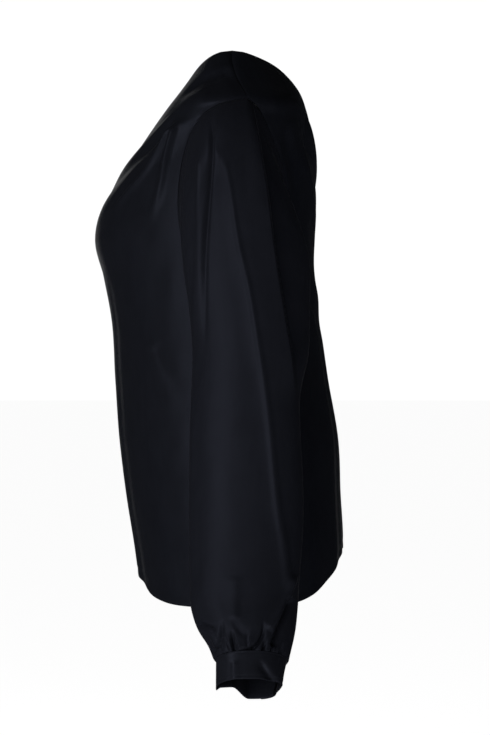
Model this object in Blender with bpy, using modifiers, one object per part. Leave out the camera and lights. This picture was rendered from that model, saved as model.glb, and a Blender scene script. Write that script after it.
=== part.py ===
"""One-shoulder blouse as it hangs on a wearer, hollow: front, back, long left sleeve and its cuff.

Metres. +X is the wearer's left, -Y the front and +Z up. Positions in the tables are taken from the body's
middle line, 0.279 m below the left shoulder point. Every piece is then moved by -HOLD, which puts the
origin under the middle of the shoulder seam, where the wearer carries the blouse.
"""

import bmesh
import bpy
import numpy as np
from mathutils import Vector

HOLD = np.array([0.128, -0.009, 0.3060])

BODY_WALL = 0.0014
SLEEVE_WALL = 0.0012
CUFF_WALL = 0.0016
# Where two walls meet at a bend their inner edges lean together, so the outer gap is set wider than 0.3 mm.
SIDE_SEAM_GAP = 0.0009
SHOULDER_SEAM_GAP = 0.0024
ARMHOLE_GAP = 0.0017
CUFF_SEAM_GAP = 0.0007
LAP_GAP = 0.0004

SHOULDER_HEIGHT = 0.2790
NECK_HEIGHT = 0.3406
FRONT_HEM, SIDE_HEM, BACK_HEM = -0.2230, -0.2480, -0.1990
FRONT_HEM_SHARPNESS, BACK_HEM_SHARPNESS = 6, 3.5
BODY_ROUNDNESS = 2.4
SLEEVE_ROUNDNESS = 2.3
TURN_SPREAD = 0.16
EVENING_ROUNDS = 400
SIDE_ROWS, ARMHOLE_ROWS = 12, 12
SHOULDER_COLUMNS, NECK_COLUMNS = 7, 19
TOP_CROWDING = 1.5
FOLD_FADE = 0.03

# The cap leaves the armhole outward at the shoulder and downward under the arm.
CAP_ROWS, ARM_ROWS = 9, 20
CAP_FULLNESS = 1.15
LEAVES_SHOULDER, LEAVES_UNDERARM = (1.0, 0.0, -0.42), (0.35, 0.0, -1.0)
SLOPE_STEP = 0.02
ARM_CROWDING = 0.8

GATHERS = 18
GATHER_DEPTH = 0.0024
GATHERS_TOP, GATHERS_GROW = -0.205, 0.055
GATHERS_CLOSE = 0.012
CUFF_HEIGHT = 0.0290
CUFF_HALF_WIDTH = 0.0357
CUFF_HALF_DEPTH = 0.0325
CUFF_LEAN = 25.0
CUFF_OVERLAP = 0.022
CUFF_LAP_START = 128.0
CUFF_LAP_RISE = 0.5
# How far the inner wall is pressed toward the outer one, and the back drawn in, from the seam to the rim.
PRESSED_AT_SEAM, PRESSED_AT_RIM = 0.62, 1.15
BACK_DRAWN_IN = 0.28
CUFF_COLUMNS, CUFF_ROWS, LAP_MIDDLE = 72, 4, 69
BUTTON_RADIUS = 0.0045
BUTTON_THICKNESS = 0.0022


def table(names, rows):
    """A short table as one array for each named column."""
    return dict(zip(names.split(), np.array(rows, float).T))


BODY = table("height half_width middle front back", [
    (-0.250, 0.180, -0.008, 0.1060, 0.1140),
    (-0.190, 0.179, -0.011, 0.1113, 0.1190),
    (-0.140, 0.177, -0.014, 0.1163, 0.1195),
    (-0.080, 0.173, -0.017, 0.1208, 0.1201),
    (-0.014, 0.170, -0.020, 0.1226, 0.1116),
    (0.052, 0.171, -0.021, 0.1256, 0.1033),
    (0.100, 0.175, -0.020, 0.1355, 0.0965),
    (0.140, 0.179, -0.018, 0.1460, 0.0928),
    (0.173, 0.182, -0.014, 0.1425, 0.0917),
    (0.206, 0.185, -0.010, 0.1280, 0.0885),
    (0.239, 0.187, -0.005, 0.1095, 0.0795),
    (0.261, 0.187, -0.001, 0.0985, 0.0724),
    (0.279, 0.185, 0.002, 0.0885, 0.0652),
    (0.302, 0.138, -0.007, 0.0625, 0.0655),
    (0.314, 0.118, -0.011, 0.0500, 0.0605),
    (0.330, 0.088, -0.014, 0.0370, 0.0464),
    (0.3406, 0.070, -0.014, 0.0290, 0.0270),
])

NECKLINE = table("share height across", [
    (0.000, 0.3406, 0.070),
    (0.115, 0.320, 0.047),
    (0.195, 0.300, 0.027),
    (0.270, 0.280, 0.008),
    (0.345, 0.260, -0.012),
    (0.420, 0.240, -0.032),
    (0.490, 0.220, -0.053),
    (0.565, 0.200, -0.075),
    (0.640, 0.180, -0.098),
    (0.725, 0.160, -0.122),
    (0.825, 0.141, -0.148),
    (1.000, 0.125, -0.1790),
])

# Left armhole, from under the arm to the shoulder: how far it reaches ahead of and behind the side line.
ARMHOLE = table("share front_height front_reach back_height back_reach", [
    (0.00, 0.108, 0.000, 0.108, 0.000),
    (0.12, 0.112, 0.024, 0.112, 0.026),
    (0.25, 0.127, 0.042, 0.126, 0.044),
    (0.40, 0.160, 0.053, 0.156, 0.056),
    (0.55, 0.195, 0.0565, 0.190, 0.056),
    (0.70, 0.228, 0.055, 0.220, 0.044),
    (0.82, 0.251, 0.0495, 0.244, 0.030),
    (0.91, 0.2670, 0.0385, 0.262, 0.018),
    (0.96, 0.2745, 0.0230, 0.271, 0.010),
    (1.00, 0.2790, 0.0000, 0.279, 0.000),
])

SLEEVE = table("height across middle half_depth front back lean flat", [
    (0.090, 0.2200, 0.0010, 0.0370, 0.0625, 0.0665, 0, 0),
    (0.060, 0.2200, 0.0020, 0.0380, 0.0592, 0.0645, 0, 0),
    (0.015, 0.2200, 0.0030, 0.0385, 0.0565, 0.0620, 0, 0),
    (-0.030, 0.2205, 0.0000, 0.0390, 0.0551, 0.0560, 1, 0),
    (-0.065, 0.2210, 0.0000, 0.0390, 0.0563, 0.0565, 2, 0),
    (-0.115, 0.2220, 0.0000, 0.0395, 0.0567, 0.0590, 4, 0),
    (-0.170, 0.2260, 0.0000, 0.0395, 0.0567, 0.0590, 8, 0),
    (-0.215, 0.2330, 0.0000, 0.0390, 0.0565, 0.0555, 13, 0),
    (-0.245, 0.2400, 0.0010, 0.0380, 0.0555, 0.0525, 17, 0),
    (-0.265, 0.2480, 0.0030, 0.0365, 0.0500, 0.0480, 20, 0.15),
    (-0.280, 0.2550, 0.0055, 0.0345, 0.0420, 0.0420, 23, 0.6),
    (-0.2945, 0.2625, 0.0065, 0.0325, 0.0357, 0.0357, 25, 1),
])

# Folds are given as the side view shows them: y is back from the middle, z up. Each runs over three
# points, with its rise off the cloth and its width at both ends; a step drops off along its back edge.
FOLD_COLUMNS = "y0 z0 y1 z1 y2 z2 rise0 rise2 width0 width2"

BODY_FOLDS = table(FOLD_COLUMNS, [
    (-0.076, 0.250, -0.098, 0.206, -0.150, 0.165, 0.0060, 0.0020, 0.011, 0.020),
    (-0.074, 0.248, -0.086, 0.200, -0.102, 0.150, 0.0050, 0.0016, 0.010, 0.017),
    (-0.080, 0.246, -0.094, 0.215, -0.120, 0.180, -0.0040, -0.0014, 0.008, 0.012),
    (-0.018, 0.317, -0.046, 0.308, -0.068, 0.290, 0.0040, 0.0014, 0.009, 0.012),
    (-0.096, 0.020, -0.078, -0.018, -0.064, -0.030, 0.0030, 0.0016, 0.014, 0.016),
    (0.072, 0.080, 0.068, 0.030, 0.058, -0.030, 0.0030, 0.0014, 0.010, 0.014),
])

SLEEVE_FOLDS = table(FOLD_COLUMNS, [
    (-0.0368, 0.2583, 0.0040, 0.0805, 0.0424, -0.2126, 0.0044, 0.0024, 0.007, 0.018),
    (-0.0340, 0.2450, -0.0370, 0.1650, -0.0400, 0.0600, -0.0044, -0.0012, 0.008, 0.012),
    (-0.0480, 0.2150, -0.0490, 0.1400, -0.0530, 0.0300, 0.0026, 0.0016, 0.007, 0.009),
])

SLEEVE_STEP = table(FOLD_COLUMNS, [
    (0.0067, 0.2760, 0.0231, 0.1775, 0.0518, -0.0210, -0.0130, -0.0030, 0.034, 0.020),
])
STEP_SOFTNESS = 0.009


def read(rows, column, at, key="height"):
    """Smooth value of a column: cubic pieces through its rows, each row's slope taken from its neighbours."""
    place, value = rows[key], rows[column]
    if place[0] > place[-1]:
        place, value = place[::-1], value[::-1]
    slope = np.gradient(value, place)
    low = np.clip(np.searchsorted(place, at) - 1, 0, len(place) - 2)
    step = place[low + 1] - place[low]
    t = np.clip((at - place[low]) / step, 0, 1)
    rise = value[low + 1] - value[low]
    bend = (slope[low] * (1 - t) - slope[low + 1] * t) * step
    return value[low] + rise * t * t * (3 - 2 * t) + t * (1 - t) * bend


def power(value, roundness):
    """Signed power that turns a circle's sine or cosine into a rounded box's."""
    return np.sign(value) * np.abs(value) ** (2 / roundness)


def figure(turn, height, side):
    """Point of the worn body form: a rounded box section at each height, turn 0 at the left, pi at the right."""
    depth = np.where(side > 0, read(BODY, "front", height), read(BODY, "back", height))
    across = read(BODY, "half_width", height) * power(np.cos(turn), BODY_ROUNDNESS)
    along = read(BODY, "middle", height) - side * depth * power(np.sin(turn), BODY_ROUNDNESS)
    return np.stack([across, along, height], -1)


def armhole(side):
    """Turn and height of the left armhole's points on the body form, from under the arm to the shoulder."""
    name = "front" if side > 0 else "back"
    share = 1 - np.linspace(1, 0, ARMHOLE_ROWS + 1) ** TOP_CROWDING
    height = read(ARMHOLE, name + "_height", share, "share")
    reach = np.maximum(read(ARMHOLE, name + "_reach", share, "share"), 0)
    return np.arcsin((reach / read(BODY, name, height)) ** (BODY_ROUNDNESS / 2)), height


def near_line(y, z, line):
    """Distance to a line through three points, how far along it that is, and which side of it (1 is behind)."""
    y0, z0, y1, z1, y2, z2 = line
    best = np.full_like(y, np.inf)
    share, behind = np.zeros_like(y), np.zeros_like(y)
    for ya, za, yb, zb, start in ((y0, z0, y1, z1, 0.0), (y1, z1, y2, z2, 0.5)):
        dy, dz = yb - ya, zb - za
        t = np.clip(((y - ya) * dy + (z - za) * dz) / (dy * dy + dz * dz), 0, 1)
        off = np.hypot(y - ya - t * dy, z - za - t * dz)
        closer = off < best
        share = np.where(closer, start + t / 2, share)
        behind = np.where(closer, np.sign((z - za) * dy - (y - ya) * dz), behind)
        best = np.where(closer, off, best)
    return best, share, behind


def fold_rise(folds, y, z):
    """Sum of the folds at points of the side view: each is a bell across its line, changing along it."""
    total = np.zeros_like(y)
    for *line, rise0, rise2, width0, width2 in zip(*folds.values()):
        off, share, _ = near_line(y, z, line)
        width = width0 + (width2 - width0) * share
        total += (rise0 + (rise2 - rise0) * share) * np.exp(-((off / width) ** 2))
    return total


def step_rise(folds, y, z):
    """Sum of the steps: none ahead of the line, a sharp drop just behind it that dies away with distance."""
    total = np.zeros_like(y)
    for *line, rise0, rise2, width0, width2 in zip(*folds.values()):
        off, share, behind = near_line(y, z, line)
        width = width0 + (width2 - width0) * share
        drop = np.clip(off * behind / STEP_SOFTNESS, 0, 1)
        total += (rise0 + (rise2 - rise0) * share) * drop * drop * (3 - 2 * drop) * np.exp(-off / width)
    return total


def normals(grid):
    """Unit normals of a grid of points, from the differences along its rows and columns."""
    across = np.cross(np.gradient(grid, axis=1), np.gradient(grid, axis=0))
    return across / np.linalg.norm(across, axis=-1, keepdims=True)


def inset(grid, first_row, last_row, first_column, last_column):
    """The grid with its four edges drawn in by half a seam gap each."""
    grid = grid.copy()
    turned = grid.swapaxes(0, 1)
    edges = (grid, first_row), (grid[::-1], last_row), (turned, first_column), (turned[::-1], last_column)
    for view, gap in edges:
        inward = view[1] - view[0]
        view[0] += gap / 2 * inward / np.linalg.norm(inward, axis=-1, keepdims=True)
    return grid


def relaxed(grid, rounds):
    """A flat grid with its edge held and its inside evened out, so that no cell folds over (Winslow's rule)."""
    grid = grid.copy()
    for _ in range(rounds):
        along = (grid[1:-1, 2:] - grid[1:-1, :-2]) / 2
        up = (grid[2:, 1:-1] - grid[:-2, 1:-1]) / 2
        twist = (grid[2:, 2:] - grid[2:, :-2] - grid[:-2, 2:] + grid[:-2, :-2]) / 4
        a = (up * up).sum(-1, keepdims=True)
        b = (along * up).sum(-1, keepdims=True)
        c = (along * along).sum(-1, keepdims=True)
        sides = a * (grid[1:-1, 2:] + grid[1:-1, :-2]) + c * (grid[2:, 1:-1] + grid[:-2, 1:-1])
        grid[1:-1, 1:-1] = (sides - 2 * b * twist) / (2 * (a + c))
    return grid


def panel(side):
    """Front (side 1) or back (side -1), on the body form's own chart of turn and height.

    Rows run across the body and columns up it. The grid blends its four edges: the hem, the left edge of
    side seam and armhole, the top edge of shoulder seam and neckline, and the right side seam.
    """
    across = np.linspace(0, 1, SHOULDER_COLUMNS + NECK_COLUMNS + 1)[None, :]
    rows = SIDE_ROWS + ARMHOLE_ROWS
    up = 1 - np.linspace(1, 0, rows + 1)[:, None] ** TOP_CROWDING
    middle_hem, sharpness = (BACK_HEM, BACK_HEM_SHARPNESS) if side < 0 else (FRONT_HEM, FRONT_HEM_SHARPNESS)
    hem_turn = np.pi * across
    hem_height = SIDE_HEM + (middle_hem - SIDE_HEM) * np.sin(hem_turn).clip(0) ** sharpness
    hole_turn, hole_height = armhole(side)
    side_height = np.linspace(SIDE_HEM, hole_height[0], SIDE_ROWS + 1)
    left_turn = np.concatenate([np.zeros(SIDE_ROWS), hole_turn])[:, None]
    left_height = np.concatenate([side_height[:-1], hole_height])[:, None]
    along_neck = np.linspace(0, 1, NECK_COLUMNS + 1)
    neck_height = read(NECKLINE, "height", along_neck, "share")
    neck_across = read(NECKLINE, "across", along_neck, "share") / read(BODY, "half_width", neck_height)
    neck_turn = np.arccos(np.sign(neck_across) * np.minimum(np.abs(neck_across), 1) ** (BODY_ROUNDNESS / 2))
    shoulder_height = np.linspace(SHOULDER_HEIGHT, NECK_HEIGHT, SHOULDER_COLUMNS + 1)
    top_turn = np.concatenate([np.zeros(SHOULDER_COLUMNS), neck_turn])
    top_height = np.concatenate([shoulder_height[:-1], neck_height])
    right_height = SIDE_HEM + (top_height[-1] - SIDE_HEM) * up
    turn = (1 - up) * hem_turn + up * top_turn + (1 - across) * left_turn
    height = ((1 - up) * hem_height + up * top_height + (1 - across) * left_height + across * right_height
              - (1 - across) * ((1 - up) * SIDE_HEM + up * SHOULDER_HEIGHT)
              - across * ((1 - up) * SIDE_HEM + up * top_height[-1]))
    turn, height = relaxed(np.stack([turn * TURN_SPREAD, height], -1), EVENING_ROUNDS).transpose(2, 0, 1)
    turn = turn / TURN_SPREAD
    grid = figure(turn, height, side)
    from_armhole = np.clip(across * (SHOULDER_COLUMNS + NECK_COLUMNS) / 2, 0, 1)
    from_shoulder = np.maximum(np.linspace(rows / 2, 0, rows + 1)[:, None].clip(0, 1), top_turn > 0)
    fade = from_armhole * from_shoulder * np.clip(grid[..., 0] / FOLD_FADE, 0, 1)
    rise = fade * fold_rise(BODY_FOLDS, grid[..., 1], grid[..., 2])
    return grid - side * normals(grid) * rise[..., None]


def pressed(angle):
    """Where the wrist is pressed flat: nowhere on the outer side, fully on the inner side toward the front."""
    inner = np.clip(-2 * np.cos(angle), 0, 1)
    ahead = np.clip(-0.1 - 2.2 * np.sin(angle), 0, 1)
    return inner * ahead * ahead * (3 - 2 * ahead)


def sleeve_section(angle, height):
    """Ring of the sleeve below the arm: a rounded box, leaning outward near the cuff."""
    front, back = read(SLEEVE, "front", height), read(SLEEVE, "back", height)
    depth = read(SLEEVE, "half_depth", height)
    lean = np.radians(read(SLEEVE, "lean", height))
    press = PRESSED_AT_SEAM * read(SLEEVE, "flat", height) * pressed(angle)
    out = depth * power(np.cos(angle), SLEEVE_ROUNDNESS) * (1 - press)
    along = np.where(np.sin(angle) > 0, back, front) * power(np.sin(angle), SLEEVE_ROUNDNESS)
    across = read(SLEEVE, "across", height) + out * np.cos(lean)
    middle = read(SLEEVE, "middle", height) + along
    return np.stack([across, middle, height + out * np.sin(lean)], -1)


def armhole_ring(angle):
    """The panels' armhole edges as one ring: angle 0 at the shoulder, then back, under the arm and front."""
    place = np.linspace(0, 1, ARMHOLE_ROWS + 1)
    back, front = (figure(*armhole(side), side) for side in (-1, 1))
    share = np.abs(1 - angle / np.pi)
    edges = [np.where(angle > np.pi, np.interp(share, place, front[:, i]), np.interp(share, place, back[:, i]))
             for i in range(3)]
    return np.stack(edges, -1)


def sleeve():
    """Sleeve from the armhole over a round cap and down to the gathers at the cuff."""
    angle = np.linspace(0, 2 * np.pi, 6 * ARMHOLE_ROWS + 1)[None, :]
    start = armhole_ring(angle)
    top = SLEEVE["height"][0]
    first = sleeve_section(angle, np.full_like(angle, top))
    below = sleeve_section(angle, np.full_like(angle, top - SLOPE_STEP))
    over = ((1 + np.cos(angle)) / 2)[..., None]
    away = np.array(LEAVES_UNDERARM) * (1 - over) + np.array(LEAVES_SHOULDER) * over
    away = away / np.linalg.norm(away, axis=-1, keepdims=True)
    down = (below - first) / SLOPE_STEP
    chord = np.linalg.norm(first - start, axis=-1, keepdims=True)
    t = np.linspace(0, 1, CAP_ROWS + 1)[:, None, None]
    cap = (start * (1 + 2 * t) * (1 - t) ** 2 + first * t * t * (3 - 2 * t)
           + chord * CAP_FULLNESS * (away * t * (1 - t) ** 2 - down * t * t * (1 - t)))
    share = np.linspace(0, 1, ARM_ROWS + 1)[1:, None] ** ARM_CROWDING
    heights = top + (SLEEVE["height"][-1] - top) * share
    arm = sleeve_section(0 * heights + angle, heights + 0 * angle)
    grid = np.concatenate([cap, arm])
    out = normals(grid) * -1
    y, z = grid[..., 1], grid[..., 2]
    from_start = np.clip(np.arange(len(grid)) / 2, 0, 1)[:, None]
    outer = np.clip(np.cos(angle) * 2, 0, 1) * from_start
    behind = np.clip(np.cos(angle) * 3 + 1.5, 0, 1) * from_start
    gather = np.clip((GATHERS_TOP - z) / GATHERS_GROW, 0, 1) ** 1.5
    gather = gather * np.clip(from_end(grid) / GATHERS_CLOSE + 0.25, 0, 1)
    rise = outer * fold_rise(SLEEVE_FOLDS, y, z) + behind * step_rise(SLEEVE_STEP, y, z)
    rise = rise + GATHER_DEPTH * gather * np.cos(GATHERS * angle)
    return grid + out * rise[..., None]


def from_end(grid):
    """Column of how far each row of a grid is from its last row."""
    steps = np.linalg.norm(np.diff(grid, axis=0), axis=-1).mean(axis=1)
    return np.concatenate([np.cumsum(steps[::-1])[::-1], [0]])[:, None]


def cuff():
    """Cuff band: a leaning strip of the wrist's shape whose ends overlap at the back of the wrist."""
    girth = np.pi * (CUFF_HALF_WIDTH + CUFF_HALF_DEPTH)
    lap = 2 * np.pi * CUFF_OVERLAP / girth
    travel = np.linspace(0, 2 * np.pi + lap, CUFF_COLUMNS + 1)[None, :]
    angle = travel + np.radians(CUFF_LAP_START)
    lifted = np.clip((travel - 2 * np.pi) / CUFF_LAP_RISE + 1, 0, 1) * (CUFF_WALL + LAP_GAP)
    share = np.linspace(0, 1, CUFF_ROWS + 1)[:, None]
    press = (PRESSED_AT_SEAM + (PRESSED_AT_RIM - PRESSED_AT_SEAM) * share) * pressed(angle)
    drawn = BACK_DRAWN_IN * share * np.sin(angle).clip(0, 1) * np.clip(0.65 - np.cos(angle), 0.3, 1)
    down = share * CUFF_HEIGHT
    lean = np.radians(CUFF_LEAN)
    x = (CUFF_HALF_DEPTH + lifted) * power(np.cos(angle), SLEEVE_ROUNDNESS) * (1 - press)
    y = (CUFF_HALF_WIDTH + lifted) * power(np.sin(angle), SLEEVE_ROUNDNESS) * (1 - drawn)
    across = SLEEVE["across"][-1] + x * np.cos(lean) + down * np.sin(lean)
    height = SLEEVE["height"][-1] + x * np.sin(lean) - down * np.cos(lean)
    return np.stack([across, SLEEVE["middle"][-1] + y, height], -1)


def cloth(name, grid, wall, closed, facing, material, collection):
    """One named piece: a grid of points as an open surface, made solid inward from its outer face."""
    if closed:
        grid = grid[:, :-1]
    rows, columns = grid.shape[:2]
    index = np.arange(rows * columns).reshape(rows, columns)
    if closed:
        index = np.concatenate([index, index[:, :1]], axis=1)
    faces = np.stack([index[:-1, :-1], index[:-1, 1:], index[1:, 1:], index[1:, :-1]], -1).reshape(-1, 4)
    if facing < 0:
        faces = faces[:, ::-1]
    mesh = bpy.data.meshes.new(name)
    mesh.from_pydata((grid - HOLD).reshape(-1, 3).tolist(), [], faces.tolist())
    mesh.polygons.foreach_set("use_smooth", [True] * len(faces))
    mesh.materials.append(material)
    piece = bpy.data.objects.new(name, mesh)
    collection.objects.link(piece)
    solid = piece.modifiers.new("wall", "SOLIDIFY")
    solid.thickness = wall
    solid.offset = -1
    return piece


def fabric(name, colour, roughness):
    """Plain cloth finish: the photo's near-black with the soft sheen of a satin weave."""
    material = bpy.data.materials.new(name)
    material.use_nodes = True
    shader = material.node_tree.nodes["Principled BSDF"]
    shader.inputs["Base Color"].default_value = (*colour, 1)
    shader.inputs["Roughness"].default_value = roughness
    shader.inputs["Metallic"].default_value = 0
    return material


def button(centre, outward, collection):
    """Cuff button: a small disc lying on the lap of the cuff."""
    mesh = bpy.data.meshes.new("cuff_button")
    shape = bmesh.new()
    bmesh.ops.create_cone(shape, cap_ends=True, segments=24, radius1=BUTTON_RADIUS, radius2=BUTTON_RADIUS,
                          depth=BUTTON_THICKNESS)
    shape.to_mesh(mesh)
    shape.free()
    mesh.materials.append(fabric("button_black", (0.0080, 0.0080, 0.0090), 0.3))
    piece = bpy.data.objects.new("cuff_button", mesh)
    piece.location = centre
    piece.rotation_mode = "QUATERNION"
    piece.rotation_quaternion = outward.to_track_quat("Z", "Y")
    collection.objects.link(piece)
    return piece


for old in list(bpy.data.objects):
    bpy.data.objects.remove(old)

blouse = bpy.data.collections.new("blouse")
bpy.context.scene.collection.children.link(blouse)

front_grid = inset(panel(1), 0, SHOULDER_SEAM_GAP, SIDE_SEAM_GAP, SIDE_SEAM_GAP)
front_satin = fabric("front_satin", (0.0058, 0.0062, 0.0080), 0.45)
cloth("front", front_grid, BODY_WALL, False, -1, front_satin, blouse)

back_grid = inset(panel(-1), 0, SHOULDER_SEAM_GAP, SIDE_SEAM_GAP, SIDE_SEAM_GAP)
back_satin = fabric("back_satin", (0.0050, 0.0054, 0.0070), 0.45)
cloth("back", back_grid, BODY_WALL, False, 1, back_satin, blouse)

sleeve_grid = inset(sleeve(), ARMHOLE_GAP, CUFF_SEAM_GAP, 0, 0)
sleeve_satin = fabric("sleeve_satin", (0.0062, 0.0066, 0.0085), 0.45)
cloth("sleeve", sleeve_grid, SLEEVE_WALL, True, -1, sleeve_satin, blouse)

cuff_grid = inset(cuff(), CUFF_SEAM_GAP, 0, 0, 0)
cuff_satin = fabric("cuff_satin", (0.0062, 0.0066, 0.0085), 0.5)
cloth("cuff", cuff_grid, CUFF_WALL, False, -1, cuff_satin, blouse)

outward = -normals(cuff_grid)[CUFF_ROWS // 2, LAP_MIDDLE]
seat = cuff_grid[CUFF_ROWS // 2, LAP_MIDDLE] + outward * (LAP_GAP + BUTTON_THICKNESS / 2)
button(Vector(seat - HOLD), Vector(outward), blouse)
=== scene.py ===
"""One-shoulder blouse in black satin, worn and empty: cloth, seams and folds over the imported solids."""

import bmesh
import bpy
import numpy as np
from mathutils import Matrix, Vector


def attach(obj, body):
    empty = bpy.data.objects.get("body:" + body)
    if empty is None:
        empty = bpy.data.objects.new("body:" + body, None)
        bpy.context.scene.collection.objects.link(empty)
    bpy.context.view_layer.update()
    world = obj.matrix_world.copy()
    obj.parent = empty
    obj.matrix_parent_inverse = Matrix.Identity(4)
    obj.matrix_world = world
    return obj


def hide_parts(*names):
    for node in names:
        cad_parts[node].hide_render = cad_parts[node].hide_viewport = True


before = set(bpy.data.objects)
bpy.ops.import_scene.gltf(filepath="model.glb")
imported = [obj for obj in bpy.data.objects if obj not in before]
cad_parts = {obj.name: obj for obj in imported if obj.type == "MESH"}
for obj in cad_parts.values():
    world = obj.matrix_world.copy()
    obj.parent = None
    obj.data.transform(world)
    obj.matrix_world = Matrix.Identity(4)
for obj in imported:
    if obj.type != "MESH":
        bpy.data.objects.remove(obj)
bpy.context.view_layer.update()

# ---- Front -----------------------------------------------------------------------------------------------
# The front is one panel of black polyester satin that runs from side seam to side seam. Its neckline slants
# from the left shoulder to under the right arm. Fullness from the shoulder and armhole drapes over the bust.

HOLD = np.array([0.128, -0.009, 0.3060])
SHOULDER_HEIGHT, NECK_HEIGHT = 0.2790, 0.3406
SIDE_HEM = -0.2480
BODY_ROUNDNESS = 2.4
TURN_SPREAD = 0.16
SIDE_ROWS, ARMHOLE_ROWS, SHOULDER_COLUMNS, NECK_COLUMNS = 12, 12, 7, 19
TOP_CROWDING = 1.5
CLOTH = 0.0006
SEAM_GAP = 0.0004
CALM_NEAR_SEAM = 0.012
SLACK, SLACK_WAVE, SWING, SWING_WAVE = 0.0011, 0.045, 0.0030, 0.075
SEAM_PINCH, PINCH_WIDTH = 0.0004, 0.0022
HEM_STITCH, HEM_DENT, HEM_DENT_WIDTH = 0.008, 0.00035, 0.0026


def table(names, rows):
    """A short table as one array for each named column."""
    return dict(zip(names.split(), np.array(rows, float).T))


BODY = table("height half_width middle front back", [
    (-0.250, 0.180, -0.008, 0.1060, 0.1140),
    (-0.190, 0.179, -0.011, 0.1113, 0.1190),
    (-0.140, 0.177, -0.014, 0.1163, 0.1195),
    (-0.080, 0.173, -0.017, 0.1208, 0.1201),
    (-0.014, 0.170, -0.020, 0.1226, 0.1116),
    (0.052, 0.171, -0.021, 0.1256, 0.1033),
    (0.100, 0.175, -0.020, 0.1355, 0.0965),
    (0.140, 0.179, -0.018, 0.1460, 0.0928),
    (0.173, 0.182, -0.014, 0.1425, 0.0917),
    (0.206, 0.185, -0.010, 0.1280, 0.0885),
    (0.239, 0.187, -0.005, 0.1095, 0.0795),
    (0.261, 0.187, -0.001, 0.0985, 0.0724),
    (0.279, 0.185, 0.002, 0.0885, 0.0652),
    (0.302, 0.138, -0.007, 0.0625, 0.0655),
    (0.314, 0.118, -0.011, 0.0500, 0.0605),
    (0.330, 0.088, -0.014, 0.0370, 0.0464),
    (0.3406, 0.070, -0.014, 0.0290, 0.0270),
])

NECKLINE = table("share height across", [
    (0.000, 0.3406, 0.070),
    (0.115, 0.320, 0.047),
    (0.195, 0.300, 0.027),
    (0.270, 0.280, 0.008),
    (0.345, 0.260, -0.012),
    (0.420, 0.240, -0.032),
    (0.490, 0.220, -0.053),
    (0.565, 0.200, -0.075),
    (0.640, 0.180, -0.098),
    (0.725, 0.160, -0.122),
    (0.825, 0.141, -0.148),
    (1.000, 0.125, -0.1790),
])

# Left armhole, from under the arm to the shoulder: how far it reaches ahead of and behind the side line.
ARMHOLE = table("share front_height front_reach back_height back_reach", [
    (0.00, 0.108, 0.000, 0.108, 0.000),
    (0.12, 0.112, 0.024, 0.112, 0.026),
    (0.25, 0.127, 0.042, 0.126, 0.044),
    (0.40, 0.160, 0.053, 0.156, 0.056),
    (0.55, 0.195, 0.0565, 0.190, 0.056),
    (0.70, 0.228, 0.055, 0.220, 0.044),
    (0.82, 0.251, 0.0495, 0.244, 0.030),
    (0.91, 0.2670, 0.0385, 0.262, 0.018),
    (0.96, 0.2745, 0.0230, 0.271, 0.010),
    (1.00, 0.2790, 0.0000, 0.279, 0.000),
])


def read(rows, column, at, key="height"):
    """Smooth value of a column: a cubic between rows, with each row's slope taken from its neighbours."""
    place, value = rows[key], rows[column]
    if place[0] > place[-1]:
        place, value = place[::-1], value[::-1]
    slope = np.gradient(value, place)
    low = np.clip(np.searchsorted(place, at) - 1, 0, len(place) - 2)
    step = place[low + 1] - place[low]
    t = np.clip((at - place[low]) / step, 0, 1)
    rise = value[low + 1] - value[low]
    bend = (slope[low] * (1 - t) - slope[low + 1] * t) * step
    return value[low] + rise * t * t * (3 - 2 * t) + t * (1 - t) * bend


def power(value, roundness):
    """Signed power, value to the 2/roundness, that turns a circle's sine or cosine into a rounded box's."""
    return np.sign(value) * np.abs(value) ** (2 / roundness)


def figure(turn, height, side):
    """Point of the body form: at each height a rounded box, half_width cos by depth sin, turn 0 left."""
    depth = np.where(side > 0, read(BODY, "front", height), read(BODY, "back", height))
    across = read(BODY, "half_width", height) * power(np.cos(turn), BODY_ROUNDNESS)
    along = read(BODY, "middle", height) - side * depth * power(np.sin(turn), BODY_ROUNDNESS)
    return np.stack([across, along, height + 0 * turn], -1)


def armhole(side, steps):
    """Turn and height along the left armhole: the reach over the form's depth is the sine's power, undone."""
    name = "front" if side > 0 else "back"
    share = 1 - np.linspace(1, 0, steps + 1) ** TOP_CROWDING
    height = read(ARMHOLE, name + "_height", share, "share")
    reach = np.maximum(read(ARMHOLE, name + "_reach", share, "share"), 0)
    return np.arcsin((reach / read(BODY, name, height)) ** (BODY_ROUNDNESS / 2)), height


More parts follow.
